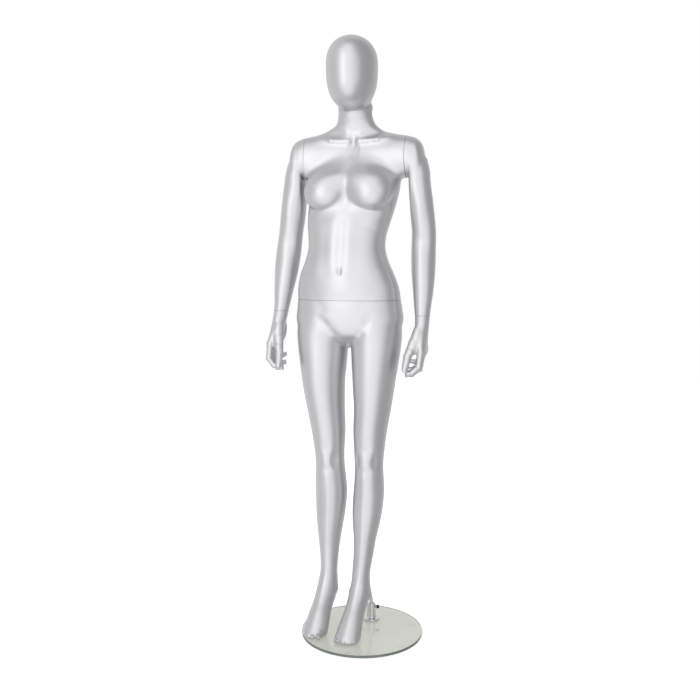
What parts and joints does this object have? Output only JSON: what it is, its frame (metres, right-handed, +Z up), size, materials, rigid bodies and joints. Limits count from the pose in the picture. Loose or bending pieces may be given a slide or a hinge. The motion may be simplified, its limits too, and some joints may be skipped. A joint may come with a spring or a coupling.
{
  "type": "full body mannequin",
  "caption": "Standing female display mannequin with an egg head, hollow take-apart body, turning arms, hands and head, on a round glass base with a calf rod.",
  "frame": {"origin": "middle of the round base, on the floor, at the underside of the middle pad", "axes": "+Z up; the figure faces -Y and its left hand is on the +X side"},
  "size_m": [0.5024, 0.37, 1.771],
  "materials": {
    "silver_paint": "satin metallic silver paint on moulded fibreglass",
    "tempered_glass": "clear tempered glass with a polished edge",
    "polished_chrome": "polished chrome plate",
    "zinc_steel": "zinc plated steel",
    "board": "cut fibreboard",
    "gasket_rubber": "moulded black rubber",
    "clear_pads": "clear soft pads",
    "black_knob": "moulded black plastic"
  },
  "bodies": {
    "base": {"glass_base": "tempered_glass", "base_pads": "clear_pads", "rod_socket": "polished_chrome", "socket_gasket": "gasket_rubber", "lower_gasket": "gasket_rubber", "clamp_washer": "zinc_steel", "flange_bolt": "zinc_steel"},
    "clamp": {"clamp_screw": "polished_chrome", "clamp_knob": "black_knob"},
    "rod": {"support_rod": "polished_chrome"},
    "legs": {"legs_shell": "silver_paint", "calf_socket": "polished_chrome", "calf_plug": "zinc_steel", "legs_board": "board", "waist_socket": "zinc_steel", "waist_socket_screws": "zinc_steel"},
    "torso": {"torso_shell": "silver_paint", "torso_board": "board", "waist_peg": "zinc_steel", "waist_peg_screws": "zinc_steel", "left_shoulder_board": "board", "right_shoulder_board": "board", "left_shoulder_socket": "zinc_steel", "right_shoulder_socket": "zinc_steel", "left_shoulder_screws": "zinc_steel", "right_shoulder_screws": "zinc_steel", "neck_board": "board", "neck_socket": "zinc_steel"},
    "left_shoulder": {"left_spindle": "zinc_steel", "left_spindle_ring": "zinc_steel"},
    "right_shoulder": {"right_spindle": "zinc_steel", "right_spindle_ring": "zinc_steel"},
    "left_arm": {"left_arm_shell": "silver_paint", "left_arm_board": "board", "left_arm_key": "zinc_steel", "left_arm_screws": "zinc_steel", "left_wrist_board": "board", "left_wrist_socket": "zinc_steel"},
    "right_arm": {"right_arm_shell": "silver_paint", "right_arm_board": "board", "right_arm_key": "zinc_steel", "right_arm_screws": "zinc_steel", "right_wrist_board": "board", "right_wrist_socket": "zinc_steel"},
    "left_palm": {"left_hand": "silver_paint", "left_wrist_peg": "zinc_steel"},
    "right_palm": {"right_hand": "silver_paint", "right_wrist_peg": "zinc_steel"},
    "head": {"head_shell": "silver_paint", "head_board": "board", "head_peg": "zinc_steel"}
  },
  "joints": [
    {"name": "clamp_turn", "type": "hinge", "parent": "base", "child": "clamp", "pos_m": [0.01, 0.08, 0.049], "axis": [0.9397, 0.342, 0], "range_deg": [-720, 0]},
    {"name": "rod_turn", "type": "hinge", "parent": "base", "child": "rod", "pos_m": [0.01, 0.08, 0.04], "axis": [0, 0, 1], "range_deg": [-20, 20]},
    {"name": "legs_lift", "type": "slide", "parent": "rod", "child": "legs", "axis": [-0.0594, -0.3368, 0.9397], "range_m": [0, 0.09]},
    {"name": "torso_lift", "type": "slide", "parent": "legs", "child": "torso", "axis": [0, 0, 1], "range_m": [0, 0.055]},
    {"name": "left_shoulder_turn", "type": "hinge", "parent": "torso", "child": "left_shoulder", "pos_m": [0.131, 0.002, 1.437], "axis": [-1, 0, 0], "range_deg": [-45, 170]},
    {"name": "left_arm_pull", "type": "slide", "parent": "left_shoulder", "child": "left_arm", "axis": [1, 0, 0], "range_m": [0, 0.03]},
    {"name": "right_shoulder_turn", "type": "hinge", "parent": "torso", "child": "right_shoulder", "pos_m": [-0.167, 0.002, 1.437], "axis": [-1, 0, 0], "range_deg": [-45, 170]},
    {"name": "right_arm_pull", "type": "slide", "parent": "right_shoulder", "child": "right_arm", "axis": [-1, 0, 0], "range_m": [0, 0.03]},
    {"name": "left_wrist_turn", "type": "hinge", "parent": "left_arm", "child": "left_palm", "pos_m": [0.184, -0.021, 0.982], "axis": [0, 0, 1], "range_deg": [-45, 45]},
    {"name": "right_wrist_turn", "type": "hinge", "parent": "right_arm", "child": "right_palm", "pos_m": [-0.247, -0.021, 0.99], "axis": [0, 0, 1], "range_deg": [-45, 45]},
    {"name": "head_turn", "type": "hinge", "parent": "torso", "child": "head", "pos_m": [-0.02, -0.01, 1.591], "axis": [0, -0.4695, 0.8829], "range_deg": [-60, 60]}
  ]
}
